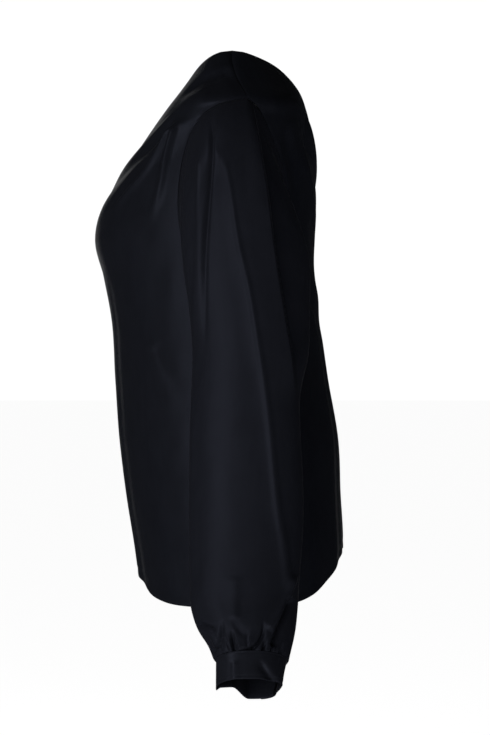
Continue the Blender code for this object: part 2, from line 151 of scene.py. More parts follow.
def chart(side, fineness):
    """Turn and height over a panel, twice as fine at each call: the four edges blended (Coons), then evened.

    An inner point moves to the mean of its neighbours, weighted by the squared lengths of the two grid
    directions, less their twist (Winslow's rule), so no cell folds over. The start is the coarser chart.
    """
    rows, columns = fineness * (SIDE_ROWS + ARMHOLE_ROWS), fineness * (SHOULDER_COLUMNS + NECK_COLUMNS)
    across = np.linspace(0, 1, columns + 1)[None, :]
    up = 1 - np.linspace(1, 0, rows + 1)[:, None] ** TOP_CROWDING
    middle_hem, sharpness = (-0.2230, 6) if side > 0 else (-0.1990, 3.5)
    hem_turn = np.pi * across
    hem_height = SIDE_HEM + (middle_hem - SIDE_HEM) * np.sin(hem_turn).clip(0) ** sharpness
    hole_turn, hole_height = armhole(side, fineness * ARMHOLE_ROWS)
    side_height = np.linspace(SIDE_HEM, hole_height[0], fineness * SIDE_ROWS + 1)
    left_turn = np.concatenate([0 * side_height[:-1], hole_turn])[:, None]
    left_height = np.concatenate([side_height[:-1], hole_height])[:, None]
    along_neck = np.linspace(0, 1, fineness * NECK_COLUMNS + 1)
    neck_height = read(NECKLINE, "height", along_neck, "share")
    neck_across = read(NECKLINE, "across", along_neck, "share") / read(BODY, "half_width", neck_height)
    neck_turn = np.arccos(np.sign(neck_across) * np.minimum(np.abs(neck_across), 1) ** (BODY_ROUNDNESS / 2))
    shoulder_height = np.linspace(SHOULDER_HEIGHT, NECK_HEIGHT, fineness * SHOULDER_COLUMNS + 1)
    top_turn = np.concatenate([0 * shoulder_height[:-1], neck_turn])
    top_height = np.concatenate([shoulder_height[:-1], neck_height])
    right_height = SIDE_HEM + (top_height[-1] - SIDE_HEM) * up
    turn = (1 - up) * hem_turn + up * top_turn + (1 - across) * left_turn
    height = ((1 - up) * hem_height + up * top_height + (1 - across) * left_height + across * right_height
              - (1 - across) * ((1 - up) * SIDE_HEM + up * SHOULDER_HEIGHT)
              - across * ((1 - up) * SIDE_HEM + up * top_height[-1]))
    flat = np.stack([turn * TURN_SPREAD, height], -1)
    if fineness > 1:
        coarse = np.stack(chart(side, fineness // 2), -1) * (TURN_SPREAD, 1)
        finer = np.zeros_like(flat)
        finer[::2, ::2] = coarse
        finer[1::2, ::2] = (coarse[1:] + coarse[:-1]) / 2
        finer[:, 1::2] = (finer[:, 2::2] + finer[:, :-2:2]) / 2
        flat[1:-1, 1:-1] = finer[1:-1, 1:-1]
    for _ in range(60 if fineness > 1 else 400):
        along, rise = (flat[1:-1, 2:] - flat[1:-1, :-2]) / 2, (flat[2:, 1:-1] - flat[:-2, 1:-1]) / 2
        twist = (flat[2:, 2:] - flat[2:, :-2] - flat[:-2, 2:] + flat[:-2, :-2]) / 4
        a, b, c = ((p * q).sum(-1, keepdims=True) for p, q in ((rise, rise), (along, rise), (along, along)))
        sides = a * (flat[1:-1, 2:] + flat[1:-1, :-2]) + c * (flat[2:, 1:-1] + flat[:-2, 1:-1])
        flat[1:-1, 1:-1] = (sides - 2 * b * twist) / (2 * (a + c))
    return flat[..., 0] / TURN_SPREAD, flat[..., 1]


def normals(grid, ring=False):
    """Unit normals of a grid: cross product of its differences along columns and rows, joined on a ring."""
    if ring:
        grid = np.concatenate([grid[:, -2:-1], grid, grid[:, 1:2]], axis=1)
    across = np.cross(np.gradient(grid, axis=1), np.gradient(grid, axis=0))
    across = across / np.linalg.norm(across, axis=-1, keepdims=True)
    return across[:, 1:-1] if ring else across


# Each fold runs over points of the body form: turn in degrees and height. Then come its rise at the start and
# at the end, how far its slopes reach ahead of and behind the line, and how many times wider it ends.
FRONT_FOLDS = [
    ([(2, 0.3165), (19, 0.312), (35, 0.307), (48, 0.296), (62, 0.286)], -0.0056, -0.002, 0.007, 0.018, 1.3),
    ([(40, 0.262), (40, 0.222), (47, 0.188), (64, 0.155)], 0.0026, 0.0008, 0.009, 0.013, 2),
    ([(40, 0.256), (40, 0.218), (46, 0.19), (62, 0.157)], 0.005, 0.0034, 0.0036, 0.004, 1.3),
    ([(36, 0.262), (33, 0.235), (29, 0.19), (31, 0.138)], 0.002, 0.0006, 0.008, 0.011, 2),
    ([(37, 0.254), (33, 0.222), (29, 0.187), (31, 0.145)], 0.005, 0.0032, 0.0034, 0.0038, 1.3),
    ([(44, 0.26), (47, 0.245), (53, 0.228), (66, 0.2)], -0.0034, -0.0008, 0.0045, 0.0055, 2),
    ([(47, 0.266), (62, 0.24), (84, 0.212), (108, 0.19)], 0.0026, 0.0008, 0.007, 0.009, 2),
    ([(44, 0.262), (58, 0.23), (78, 0.196), (104, 0.166)], -0.0022, -0.0008, 0.008, 0.008, 2),
    ([(42, 0.256), (53, 0.215), (70, 0.172), (98, 0.14)], 0.0018, 0.0008, 0.008, 0.009, 2.2),
    ([(30, 0.292), (36, 0.287), (44, 0.28)], 0.0009, 0.0004, 0.002, 0.003, 1.5),
    ([(24, 0.285), (29, 0.281), (36, 0.274)], 0.0009, 0.0004, 0.002, 0.003, 1.5),
    ([(162, 0.114), (138, 0.106), (112, 0.108), (80, 0.124)], 0.0044, 0.0016, 0.009, 0.012, 1.6),
    ([(160, 0.094), (136, 0.078), (112, 0.074), (88, 0.078)], -0.0046, -0.0016, 0.008, 0.01, 1.6),
    ([(158, 0.07), (136, 0.048), (116, 0.034), (94, 0.03)], 0.0036, 0.001, 0.009, 0.011, 1.6),
    ([(156, 0.048), (138, 0.022), (122, 0.006)], -0.003, -0.0008, 0.008, 0.01, 1.6),
    ([(33, 0.026), (28, 0.003), (22, -0.016), (16, -0.03)], -0.0022, -0.001, 0.006, 0.009, 1.5),
    ([(36, 0.03), (32, 0.004), (27, -0.02), (23, -0.06)], 0.0014, 0.0006, 0.01, 0.01, 1.8),
    ([(68, 0.11), (70, 0.02), (70, -0.08), (70, -0.24)], -0.0006, -0.0024, 0.012, 0.013, 1.5),
    ([(86, 0.125), (87, 0.04), (88, -0.06), (88, -0.24)], -0.0014, -0.005, 0.01, 0.012, 1.6),
    ([(98, 0.04), (99, -0.03), (100, -0.11), (99, -0.24)], -0.0006, -0.0095, 0.008, 0.01, 1.8),
    ([(113, 0.01), (113, -0.06), (115, -0.13), (115, -0.24)], -0.0006, -0.008, 0.008, 0.011, 1.6),
    ([(128, 0.02), (129, -0.04), (130, -0.11), (130, -0.24)], -0.001, -0.009, 0.008, 0.01, 1.8),
    ([(146, 0.05), (146, -0.01), (147, -0.1), (147, -0.24)], -0.001, -0.006, 0.009, 0.011, 1.6),
    ([(106, 0.02), (107, -0.08), (107, -0.24)], 0.0004, 0.0014, 0.008, 0.008, 1.6),
]


def curve(points, steps):
    """Smooth line through a few points, with slopes from their neighbours, read at even steps."""
    place = np.arange(len(points), dtype=float)
    at = np.linspace(0, len(points) - 1, steps)
    rows = {"height": place, **{str(i): column for i, column in enumerate(np.array(points, float).T)}}
    return np.stack([read(rows, str(i), at) for i in range(len(points[0]))], -1)


def near(grid, normal, line):
    """Distance from each point to a line, how far along it that is (0 to 1), and its side (1 is behind)."""
    best = np.full(grid.shape[:2], np.inf)
    share, sign = np.zeros_like(best), np.zeros_like(best)
    for i, (start, end) in enumerate(zip(line[:-1], line[1:])):
        step = end - start
        t = (((grid - start) @ step) / (step @ step)).clip(0, 1)
        off = grid - start - t[..., None] * step
        far = np.linalg.norm(off, axis=-1)
        closer = far < best
        share = np.where(closer, (i + t) / (len(line) - 1), share)
        sign = np.where(closer, (np.cross(step, off) * normal).sum(-1), sign)
        best = np.where(closer, far, best)
    return best, share, sign


def fading(share, fade_in, fade_out):
    """Zero at both ends of a line and one between them, each change a smooth step over its own share."""
    start, end = np.clip(share / fade_in, 0, 1), np.clip((1 - share) / fade_out, 0, 1)
    return start * start * (3 - 2 * start) * end * end * (3 - 2 * end)


def fold_rise(grid, normal, line, rise0, rise3, ahead, behind, spread):
    """Height of one fold at each point: rise times exp(-(distance to the line / slope width) squared)."""
    best, share, sign = near(grid, normal, line)
    width = np.where(sign > 0, behind, ahead) * (1 + (spread - 1) * share)
    return (rise0 + (rise3 - rise0) * share) * np.exp(-((best / width) ** 2)), share


def from_edges(grid):
    """Distance of each point from the first row, last row, first column and last column, along the grid."""
    found = []
    for axis in (0, 1):
        steps = np.linalg.norm(np.diff(grid, axis=axis), axis=-1)
        start = np.insert(np.cumsum(steps, axis=axis), 0, 0, axis=axis)
        found += [start, np.take(start, [-1], axis=axis) - start]
    return found


def ripples(u, v, seed, wave, lean):
    """Slack in the cloth: nine seeded sine waves of about one wave length, within lean of upright."""
    chance = np.random.default_rng(seed)
    total = np.zeros_like(u)
    for _ in range(9):
        way = chance.uniform(-lean, lean)
        length = wave * chance.uniform(0.6, 1.7)
        phase = chance.uniform(0, 2 * np.pi, 2)
        slow = np.cos(2 * np.pi * v / (length * 4.5) + phase[1])
        along = (u * np.cos(way) + v * np.sin(way)) / length
        total += np.cos(2 * np.pi * along + phase[0]) * (0.6 + 0.4 * slow)
    return total / 9


def panel(side, folds, seed):
    """A body panel: the form's points at the chart's turn and height, moved out by folds and slack.

    All of that dies away at the seams. The cloth swings more in waves toward the hem, is pinched along the
    side seams and the armhole by exp(-(distance / width) squared), and has a dent where the hem is stitched.
    """
    turn, height = chart(side, 8)
    grid = figure(turn, height, side)
    out = normals(grid) * -side
    hem, top, left, right = from_edges(grid)
    left_calm, right_calm = (left / CALM_NEAR_SEAM).clip(0, 1), (right / CALM_NEAR_SEAM).clip(0, 1)
    calm = left_calm * right_calm * np.clip(top / CALM_NEAR_SEAM, 0.15, 1)
    rise = np.zeros_like(turn)
    for points, *sizes in folds:
        turns, heights = np.array(points).T
        line = curve(figure(np.radians(turns), heights, side), 24)
        found, share = fold_rise(grid, out, line, *sizes)
        to_hem = heights[-1] < -0.2
        rise += found * fading(share, 0.12, 0.001 if to_hem else 0.35)
    facing_side = np.clip(1.3 - np.sin(turn) * 1.2, 0.35, 1)
    rise += SLACK * ripples(turn * TURN_SPREAD, height, seed, SLACK_WAVE, 0.5) * facing_side
    swing = np.clip((0.06 - height) / 0.30, 0, 1) * np.clip(np.sin(turn) * 2 - 0.7, 0, 1)
    rise += SWING * swing * (ripples(turn * TURN_SPREAD, height * 0.25, seed + 1, SWING_WAVE, 0.2) - 0.1)
    rise = rise * calm
    pinch = np.exp(-((left / PINCH_WIDTH) ** 2)) + np.exp(-((right / PINCH_WIDTH) ** 2))
    rise -= SEAM_PINCH * pinch * (1 + 0.5 * np.cos(height / 0.0016) * np.cos(height / 0.0053))
    rise -= HEM_DENT * np.exp(-(((hem - HEM_STITCH) / HEM_DENT_WIDTH) ** 2))
    return grid + out * rise[..., None], np.stack([turn * TURN_SPREAD, height], -1)


# Ways to finish an edge, as points (past the edge, into the garment). A seam turns its allowance in, and a
# narrow hem rolls round and lies 7 mm up the inside.
SEAM = [(0.0002, 0.0003), (0.0003, 0.0008), (0.0003, 0.0022), (0.0003, 0.0050)]
HEM = [(0.0005, 0.0002), (0.0007, 0.0008), (0.0004, 0.0014), (0.0, 0.0017), (-0.0040, 0.0017),
       (-0.0070, 0.0017)]


def turned(lines, out, finish):
    """Lines added past lines[0]: a point past the edge carries it on, a negative one follows the cloth in."""
    ahead = lines[0] - lines[1]
    ahead = ahead / np.linalg.norm(ahead, axis=-1, keepdims=True)
    reach = np.append(0, np.cumsum(np.linalg.norm(np.diff(lines, axis=0), axis=-1).mean(axis=1)))
    at = [np.searchsorted(reach, -past) if past < 0 else 0 for past, _ in finish]
    rows = [lines[k] + max(past, 0) * ahead - inward * out[k] for k, (past, inward) in zip(at, finish)]
    return np.array(rows).reshape(-1, *lines.shape[1:])


def finished(grid, flat, facing, first_row, last_row, first_column=(), last_column=(), ring=False):
    """The grid with finished edges: its rows first, then its columns, each with its own list of points.

    On a ring the normals are the mean of 19 neighbours, so that they keep their side at a sharp corner.
    """
    out = normals(grid, ring) * facing
    if ring:
        out = sum(np.roll(out, shift, axis=1) for shift in range(-9, 10))
        out = out / np.linalg.norm(out, axis=-1, keepdims=True)
    for first, last in ((first_row, last_row), (first_column, last_column)):
        wider = ((len(first), len(last)), (0, 0), (0, 0))
        grid = np.concatenate([turned(grid, out, first)[::-1], grid, turned(grid[::-1], out[::-1], last)])
        out, flat = np.pad(out, wider, mode="edge"), np.pad(flat, wider, mode="edge")
        grid, out, flat = grid.swapaxes(0, 1), out.swapaxes(0, 1), flat.swapaxes(0, 1)
    return grid, flat


def inset(grid, first_row, last_row, first_column, last_column):
    """The grid with its four edges drawn in by half a seam gap each."""
    sideways = grid.swapaxes(0, 1)
    edges = (grid, first_row), (grid[::-1], last_row), (sideways, first_column), (sideways[::-1], last_column)
    for view, gap in edges:
        inward = view[1] - view[0]
        view[0] += gap / 2 * inward / np.linalg.norm(inward, axis=-1, keepdims=True)
    return grid


def quads(index, facing):
    """Four corners of each cell of an index grid, turned so that its face looks to the facing side."""
    faces = np.stack([index[:-1, :-1], index[:-1, 1:], index[1:, 1:], index[1:, :-1]], -1).reshape(-1, 4)
    return faces[:, ::-1] if facing < 0 else faces


def cloth(name, grid, flat, facing, thickness, material, ring=False):
    """A piece of cloth: the grid's points as quads, its flat place as UV in metres, and Solidify inward."""
    corners = quads(np.arange(grid.shape[0] * grid.shape[1]).reshape(grid.shape[:2]), facing)
    if ring:
        grid = grid[:, :-1]
    index = np.arange(grid.shape[0] * grid.shape[1]).reshape(grid.shape[:2])
    faces = quads(np.concatenate([index, index[:, :1]], axis=1) if ring else index, facing)
    mesh = bpy.data.meshes.new(name)
    mesh.from_pydata((grid - HOLD).reshape(-1, 3).tolist(), [], faces.tolist())
    mesh.polygons.foreach_set("use_smooth", [True] * len(faces))
    mesh.uv_layers.new(name="flat").data.foreach_set("uv", flat.reshape(-1, 2)[corners.reshape(-1)].ravel())
    mesh.materials.append(material)
    piece = bpy.data.objects.new(name, mesh)
    bpy.context.scene.collection.objects.link(piece)
    if thickness > 0:
        solid = piece.modifiers.new("thickness", "SOLIDIFY")
        solid.thickness = thickness
        solid.offset = -1
    return piece


# The satin's shine: part of it is taken as metallic, so that its edges don't brighten as a varnish's would.
BUMP_STRENGTH, BUMP_DEPTH, METALLIC, SHEEN = 0.18, 0.0004, 0.34, 0.003
RIB, TWILL = 0.00045, 0.0009


class Value:
    """A shader socket that adds Math nodes when it is used in an expression."""

    def __init__(self, tree, socket):
        self.tree, self.socket = tree, socket

    def node(self, kind, settings=(), **sockets):
        """A node of any kind: its settings first, then the values or links of its sockets."""
        made = self.tree.nodes.new(kind)
        for name, value in dict(settings).items():
            setattr(made, name, value)
        for name, value in sockets.items():
            numbered = name[0] == "i" and name[1:].isdigit()
            socket = made.inputs[int(name[1:]) if numbered else name.replace("_", " ")]
            if isinstance(value, Value):
                self.tree.links.new(value.socket, socket)
            else:
                socket.default_value = value
        return made

    def math(self, operation, *others):
        """One Math node on this value and the others."""
        sockets = {f"i{k}": value for k, value in enumerate((self, *others))}
        return Value(self.tree, self.node("ShaderNodeMath", {"operation": operation}, **sockets).outputs[0])

    def __add__(self, other):
        return self.math("ADD", other)

    def __mul__(self, other):
        return self.math("MULTIPLY", other)

    def __sub__(self, other):
        return self.math("SUBTRACT", other)

    def __rsub__(self, other):
        return self * -1 + other

    __radd__, __rmul__ = __add__, __mul__


def satin(name, colour, roughness):
    """Black satin on the piece's flat place: fine threads across, a crepe nap and faint unevenness.

    Bump height = ribs sin(2 pi v / 0.45 mm) waved by soft noise + twill sin(2 pi (u + v) / 0.9 mm) + crepe
    noise of about 0.9 mm + streaks of thread. The soft noise and the streaks mix the colour from 0.8 to 1.25
    of itself, and the roughness moves with the soft noise and the crepe.
    """
    material = bpy.data.materials.new(name)
    material.use_nodes = True
    tree = material.node_tree
    shader = tree.nodes["Principled BSDF"]
    start = Value(tree, None)
    place = Value(tree, start.node("ShaderNodeUVMap", {"uv_map": "flat"}).outputs[0])
    apart = start.node("ShaderNodeSeparateXYZ", Vector=place)
    u, v = Value(tree, apart.outputs[0]), Value(tree, apart.outputs[1])

    def noise(scale, detail, stretch=(1, 1, 1)):
        """Cloudy noise at so many clouds a metre, its place stretched first."""
        stretched = Value(tree, start.node("ShaderNodeMapping", Vector=place, Scale=stretch).outputs[0])
        made = start.node("ShaderNodeTexNoise", Vector=stretched, Scale=scale, Detail=detail)
        return Value(tree, made.outputs[0])

    soft = noise(40, 3)
    crepe = noise(1100, 2)
    streaks = noise(260, 2, (1, 0.08, 1))
    ribs = (v * (2 * np.pi / RIB) + soft * 9).math("SINE")
    twill = ((u + v) * (2 * np.pi / TWILL)).math("SINE")
    height = ribs * 0.10 + twill * 0.12 + crepe * 0.55 + streaks * 0.35
    bump = start.node("ShaderNodeBump", Strength=BUMP_STRENGTH, Distance=BUMP_DEPTH, Height=height)
    mixed = start.node("ShaderNodeMix", {"data_type": "RGBA"}, i0=soft * 0.6 + streaks * 0.4)
    mixed.inputs[6].default_value = (*[c * 0.8 for c in colour], 1)
    mixed.inputs[7].default_value = (*[c * 1.25 for c in colour], 1)
    tree.links.new(mixed.outputs[2], shader.inputs["Base Color"])
    rough = soft * 0.10 + crepe * 0.08 + (roughness - 0.09)
    tree.links.new(rough.socket, shader.inputs["Roughness"])
    tree.links.new(bump.outputs[0], shader.inputs["Normal"])
    shader.inputs["Metallic"].default_value = METALLIC
    shader.inputs["Specular IOR Level"].default_value = 0.0
    shader.inputs["Specular Tint"].default_value = (0.08, 0.08, 0.08, 1)
    shader.inputs["Sheen Weight"].default_value = SHEEN
    shader.inputs["Sheen Roughness"].default_value = 0.4
    return material


front_satin = satin("front satin", (0.0056, 0.0061, 0.0083), 0.33)
grid, flat = panel(1, FRONT_FOLDS, 11)
grid = inset(grid, 0, SEAM_GAP, SEAM_GAP, SEAM_GAP)
grid, flat = finished(grid, flat, -1, HEM, SEAM, SEAM, SEAM)
front = cloth("front_cloth", grid, flat, -1, CLOTH, front_satin)
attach(front, "root")
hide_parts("front")

# ---- Back ------------------------------------------------------------------------------------------------
# The back is one panel of the same satin, cut to the same slanting neckline. It is sewn to the front at both
# sides and along the left shoulder, and it hangs a little longer behind, with soft diagonal slack.

BACK_FOLDS = [
    ([(36, 0.262), (47, 0.228), (58, 0.178), (66, 0.11)], 0.0022, 0.0012, 0.01, 0.013, 1.6),
    ([(30, 0.25), (38, 0.205), (45, 0.16), (50, 0.11)], -0.002, -0.001, 0.008, 0.01, 1.6),
    ([(50, 0.112), (62, 0.077), (78, 0.052), (102, 0.04)], -0.003, -0.001, 0.008, 0.009, 1.8),
    ([(52, 0.124), (66, 0.096), (82, 0.078), (108, 0.07)], 0.0026, 0.001, 0.009, 0.01, 1.6),
    ([(40, 0.06), (36, 0), (31, -0.06), (28, -0.13)], 0.0018, 0.001, 0.012, 0.012, 1.6),
    ([(74, 0.07), (73, -0.03), (72, -0.12), (72, -0.25)], -0.0006, -0.0024, 0.012, 0.013, 1.5),
    ([(90, 0.08), (90, -0.02), (89, -0.11), (88, -0.25)], -0.001, -0.0074, 0.009, 0.011, 1.6),
    ([(105, 0.06), (105, -0.03), (104, -0.12), (104, -0.25)], -0.001, -0.0094, 0.008, 0.01, 1.7),
    ([(120, 0.04), (120, -0.04), (121, -0.12), (120, -0.25)], -0.001, -0.008, 0.009, 0.011, 1.6),
    ([(135, 0.06), (136, -0.02), (136, -0.11), (136, -0.25)], -0.0012, -0.009, 0.008, 0.01, 1.7),
    ([(151, 0.06), (151, -0.01), (151, -0.11), (151, -0.25)], -0.0008, -0.005, 0.009, 0.011, 1.5),
    ([(97, 0.02), (97, -0.08), (96, -0.25)], 0.0004, 0.0016, 0.009, 0.009, 1.5),
    ([(128, 0), (128, -0.09), (128, -0.25)], 0.0004, 0.0018, 0.009, 0.009, 1.5),
    ([(162, 0.106), (140, 0.098), (114, 0.1), (86, 0.112)], 0.004, 0.0014, 0.009, 0.012, 1.6),
    ([(160, 0.086), (138, 0.07), (116, 0.062), (96, 0.062)], -0.004, -0.0014, 0.009, 0.011, 1.6),
    ([(60, 0.262), (84, 0.235), (106, 0.205), (128, 0.16)], 0.0036, 0.0016, 0.01, 0.012, 1.8),
    ([(52, 0.25), (74, 0.215), (96, 0.18), (118, 0.13)], -0.0036, -0.0016, 0.009, 0.011, 1.8),
    ([(46, 0.226), (66, 0.18), (86, 0.14), (104, 0.11)], 0.003, 0.0012, 0.009, 0.011, 1.8),
]

# The back's base colour is set a little darker than the front's: painted shade on the same satin, where the
# back faces away from the lights.
back_satin_painted_shade = satin("back satin painted shade", (0.0052, 0.0057, 0.0078), 0.35)
grid, flat = panel(-1, BACK_FOLDS, 23)
grid = inset(grid, 0, SEAM_GAP, SEAM_GAP, SEAM_GAP)
grid, flat = finished(grid, flat, 1, HEM, SEAM, SEAM, SEAM)
back = cloth("back_cloth", grid, flat, 1, CLOTH, back_satin_painted_shade)
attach(back, "root")
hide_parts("back")

# ---- Sleeve ----------------------------------------------------------------------------------------------
# The left sleeve is a long bishop sleeve: its head is pleated into the armhole, and its foot is gathered
# into the cuff, so the cloth bags out just above the wrist. It is set in by machine.

SLEEVE_ROUNDNESS = 2.3
CAP_FULLNESS = 1.15
LEAVES_SHOULDER, LEAVES_UNDERARM = (1.0, 0.0, -0.42), (0.35, 0.0, -1.0)
GATHERS, GATHER_HEIGHT = 19, 0.0026
PRESSED_AT_SEAM = 0.62
OUTER_CROWDING, CUFF_CROWDING = 0.6, 0.48
SLEEVE_SLACK, HEAD_PINCH = 0.0009, 0.0005
SLEEVE_SPREAD = 0.052

SLEEVE = table("height across middle half_depth front back lean flat", [
    (0.090, 0.2200, 0.0010, 0.0370, 0.0625, 0.0665, 0, 0),
    (0.060, 0.2200, 0.0020, 0.0380, 0.0592, 0.0645, 0, 0),
    (0.015, 0.2200, 0.0030, 0.0385, 0.0565, 0.0620, 0, 0),
    (-0.030, 0.2205, 0.0000, 0.0390, 0.0551, 0.0560, 1, 0),
    (-0.065, 0.2210, 0.0000, 0.0390, 0.0563, 0.0565, 2, 0),
    (-0.115, 0.2220, 0.0000, 0.0395, 0.0567, 0.0590, 4, 0),
    (-0.170, 0.2260, 0.0000, 0.0395, 0.0567, 0.0590, 8, 0),
    (-0.215, 0.2330, 0.0000, 0.0390, 0.0565, 0.0555, 13, 0),
    (-0.245, 0.2400, 0.0010, 0.0380, 0.0555, 0.0525, 17, 0),
    (-0.265, 0.2480, 0.0030, 0.0365, 0.0500, 0.0480, 20, 0.15),
    (-0.280, 0.2550, 0.0055, 0.0345, 0.0420, 0.0420, 23, 0.6),
    (-0.2945, 0.2625, 0.0065, 0.0325, 0.0357, 0.0357, 25, 1),
])

# Folds as the side view shows them: points (y back from the middle, z up), then the sizes as on the front.
# The pleat that runs down the sleeve comes first: a low broad form with a pressed edge on it.
SLEEVE_PLEAT = [(-0.0362, 0.2560), (-0.0295, 0.2198), (-0.0195, 0.2037), (-0.0131, 0.1695), (-0.0063, 0.1242),
                (0.0040, 0.0800), (0.0115, 0.0347), (0.0199, -0.0216), (0.0245, -0.0600), (0.0320, -0.1379),
                (0.0378, -0.1755), (0.0418, -0.2105), (0.0450, -0.2270)]
SLEEVE_FOLDS = [
    (SLEEVE_PLEAT, 0.0014, 0.0016, 0.007, 0.016, 1.3),
    (SLEEVE_PLEAT, 0.0008, 0.0022, 0.0013, 0.0015, 3.4),
    ([(-0.0345, 0.26), (-0.0332, 0.223), (-0.035, 0.186), (-0.0376, 0.148), (-0.0396, 0.112),
      (-0.0404, 0.062), (-0.0408, 0.012)], -0.0046, -0.0012, 0.0028, 0.0017, 1.3),
    ([(-0.0465, 0.22), (-0.047, 0.17), (-0.0476, 0.11), (-0.052, 0.03)], 0.0026, 0.0012, 0.003, 0.005, 1.4),
    ([(-0.053, 0.02), (-0.0545, -0.04), (-0.055, -0.12), (-0.055, -0.215)],
     0.001, 0.001, 0.003, 0.004, 1.2),
    ([(0.05, -0.206), (0.0419, -0.233), (0.0319, -0.251), (0.0229, -0.2617)],
     0.0042, 0.003, 0.0044, 0.003, 1.1),
    ([(0.045, -0.23), (0.0389, -0.247), (0.033, -0.264), (0.027, -0.278)],
     -0.0058, -0.0066, 0.0026, 0.0046, 1),
    ([(-0.0104, -0.208), (-0.0104, -0.23), (-0.0108, -0.252)], 0.0006, 0.0014, 0.007, 0.007, 0.7),
]

# Gathers that the side view shows one by one, from the puffed cloth down to the cuff.
SIDE_GATHERS = [
    ([(-0.027, -0.262), (-0.0375, -0.2606), (-0.048, -0.259)], -0.005, -0.0056, 0.0024, 0.0024, 1),
    ([(-0.0222, -0.25), (-0.0232, -0.264), (-0.0262, -0.275), (-0.031, -0.285)],
     -0.0046, -0.0048, 0.002, 0.0015, 1),
    ([(-0.013, -0.248), (-0.008, -0.259), (-0.002, -0.265), (0.004, -0.267)],
     -0.0012, -0.0006, 0.003, 0.005, 1),
    ([(-0.0128, -0.26), (-0.0122, -0.273), (-0.0104, -0.285)], -0.0036, -0.005, 0.0016, 0.0016, 1),
    ([(0.0184, -0.252), (0.0172, -0.266), (0.0095, -0.277), (-0.005, -0.2836)],
     -0.005, -0.0054, 0.0015, 0.0022, 1.1),
    ([(0.0235, -0.269), (0.019, -0.278), (0.0165, -0.287)], -0.003, -0.003, 0.0016, 0.0016, 1),
    ([(0.0305, -0.27), (0.027, -0.281), (0.0245, -0.289)], -0.0028, -0.003, 0.0016, 0.0016, 1),
    ([(0.0385, -0.274), (0.0355, -0.284), (0.0325, -0.293)], -0.0026, -0.0026, 0.0016, 0.0016, 1),
    ([(-0.04, -0.268), (-0.0355, -0.277), (-0.031, -0.287)], -0.0028, -0.0028, 0.0018, 0.0018, 1),
    ([(-0.017, -0.264), (-0.018, -0.276), (-0.02, -0.286)], 0.002, 0.0012, 0.0026, 0.0026, 1),
    ([(0.011, -0.262), (0.004, -0.273), (-0.006, -0.28)], 0.0008, 0.001, 0.0034, 0.0034, 1),
    ([(0.006, -0.274), (0.008, -0.28), (0.009, -0.286)], -0.002, -0.0026, 0.0014, 0.0014, 1),
]

# The outer facet ends at a sharp edge, behind which the cloth is tucked under and turns to the back.
SLEEVE_EDGE = [(0.0065, 0.2740), (0.0106, 0.2550), (0.0165, 0.2180), (0.0229, 0.1761), (0.0286, 0.1295),
               (0.0334, 0.0973), (0.0414, 0.0474), (0.0473, 0.0141), (0.0514, -0.0209), (0.0560, -0.0700)]
EDGE_STEP, EDGE_SLOPE = 0.015, 0.42


def sleeve_section(angle, height):
    """Ring of the sleeve below the arm: a rounded box of half_depth by front or back, leaning outward."""
    lean = np.radians(read(SLEEVE, "lean", height))
    press = PRESSED_AT_SEAM * read(SLEEVE, "flat", height) * pressed(angle)
    out = read(SLEEVE, "half_depth", height) * power(np.cos(angle), SLEEVE_ROUNDNESS) * (1 - press)
    reach = np.where(np.sin(angle) > 0, read(SLEEVE, "back", height), read(SLEEVE, "front", height))
    middle = read(SLEEVE, "middle", height) + reach * power(np.sin(angle), SLEEVE_ROUNDNESS)
    across = read(SLEEVE, "across", height) + out * np.cos(lean)
    return np.stack([across, middle, height + out * np.sin(lean)], -1)


def pressed(angle):
    """Where the wrist is pressed flat: not on the outer side, fully on the inner side toward the front."""
    inner = np.clip(-2 * np.cos(angle), 0, 1)
    ahead = np.clip(-0.1 - 2.2 * np.sin(angle), 0, 1)
    return inner * ahead * ahead * (3 - 2 * ahead)


def armhole_ring(angle):
    """The panels' armhole edges as one ring: angle 0 at the shoulder, then back, under the arm and front."""
    steps = 20 * ARMHOLE_ROWS
    place = np.linspace(0, 1, steps + 1)
    back_edge, front_edge = (figure(*armhole(side, steps), side) for side in (-1, 1))
    share = 1 - np.abs(angle) / np.pi
    return np.stack([np.where(angle < 0, np.interp(share, place, front_edge[:, i]),
                              np.interp(share, place, back_edge[:, i])) for i in range(3)], -1)


def tucked_under(grid, angle, line, step, slope):
    """How far the cloth behind the edge stands back along x: a step just behind it, then more with distance.

    It ends round the back of the sleeve, so the rear outline keeps its place in the side view.
    """
    best, share, sign = near(grid * (0, 1, 1), np.array([1.0, 0, 0]), line)
    fall = np.clip(best * (sign > 0) / 0.0016, 0, 1)
    round_back = np.clip((150 - np.degrees(np.abs(angle))) / 55, 0, 1)
    round_back = round_back * round_back * (3 - 2 * round_back)
    return (step + slope * best) * fall * round_back * fading(share, 0.06, 0.3)


def side_folds(grid, rows, fade_in, fade_out):
    """Sum of folds given in the side view: distances are measured on the grid's shadow along x.

    A fade is the share of a line over which its fold rises at the start or dies away at the end.
    """
    total = np.zeros(grid.shape[:2])
    for points, *sizes in rows:
        line = curve(np.insert(np.array(points), 0, 0, axis=1), 8 * len(points))
        found, share = fold_rise(grid * (0, 1, 1), np.array([1.0, 0, 0]), line, *sizes)
        total += found * fading(share, fade_in, fade_out)
    return total


def gathers(angle, foot):
    """Round puffs between narrow tucks: 1 - 2 exp(-4 (1 - cos phase)), the phase uneven round the wrist.

    Each puff has its own height and length, and all die away above the cuff.
    """
    phase = GATHERS * angle + 1.2 * np.sin(3 * angle + 0.7) + 0.9 * np.sin(5 * angle + 2.1)
    puff = 1 - 2 * np.exp(-4 * (1 - np.cos(phase)))
    size = 0.7 + 0.3 * np.sin(7 * angle + 1.0) * np.sin(4 * angle)
    length = 0.026 + 0.010 * np.sin(6 * angle + 0.4) + 0.006 * np.sin(11 * angle)
    grown = np.clip(1 - foot / length, 0, 1) ** 1.3 * np.clip(foot / 0.006 + 0.35, 0, 1)
    return puff * size * grown


